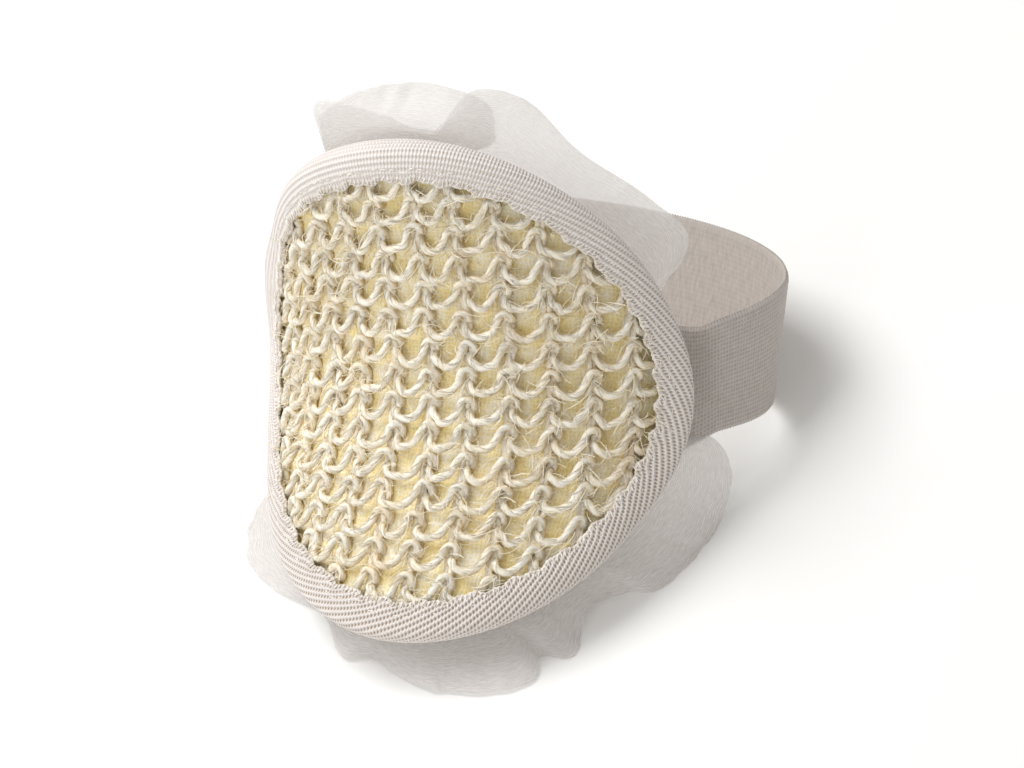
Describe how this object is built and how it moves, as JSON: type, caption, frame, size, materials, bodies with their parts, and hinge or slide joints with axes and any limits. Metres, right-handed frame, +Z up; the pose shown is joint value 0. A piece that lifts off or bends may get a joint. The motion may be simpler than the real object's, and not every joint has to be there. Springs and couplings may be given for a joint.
{
  "type": "sisal bath scrub pad",
  "caption": "Hand-worn bath scrub pad: a curled oval cushion faced with knitted sisal, bound in cotton tape, with sheer net frills above and below and an elastic hand strap behind.",
  "frame": {"origin": "middle of the object's extents on the surface it rests on", "axes": "+Z up; the knitted face looks towards -Y and up, leaning back about 41 degrees; the strap loops behind it towards +Y; the strap's two sewn ends lie along X"},
  "size_m": [0.1362, 0.1542, 0.1181],
  "materials": {
    "sisal": "thick soft-spun sisal yarn, knitted with its ridged side out, hairy",
    "lining": "plain fine-woven cotton, cream yellow, matte",
    "foam": "soft open-cell filling, matte",
    "back_cloth": "plain-woven cotton, matte",
    "tape": "ribbed cotton tape with an overlocked inner edge, matte",
    "elastic": "woven elastic webbing with fine lengthwise cords, greige, matte",
    "net": "sheer white nylon net, folded double, soft sheen"
  },
  "bodies": {
    "root": {"sisal_knit_face": "sisal", "lining_cloth": "lining", "foam_filling": "foam", "back_cloth": "back_cloth", "edge_binding": "tape", "hand_strap": "elastic", "upper_frill": "net", "lower_frill": "net"}
  },
  "joints": []
}
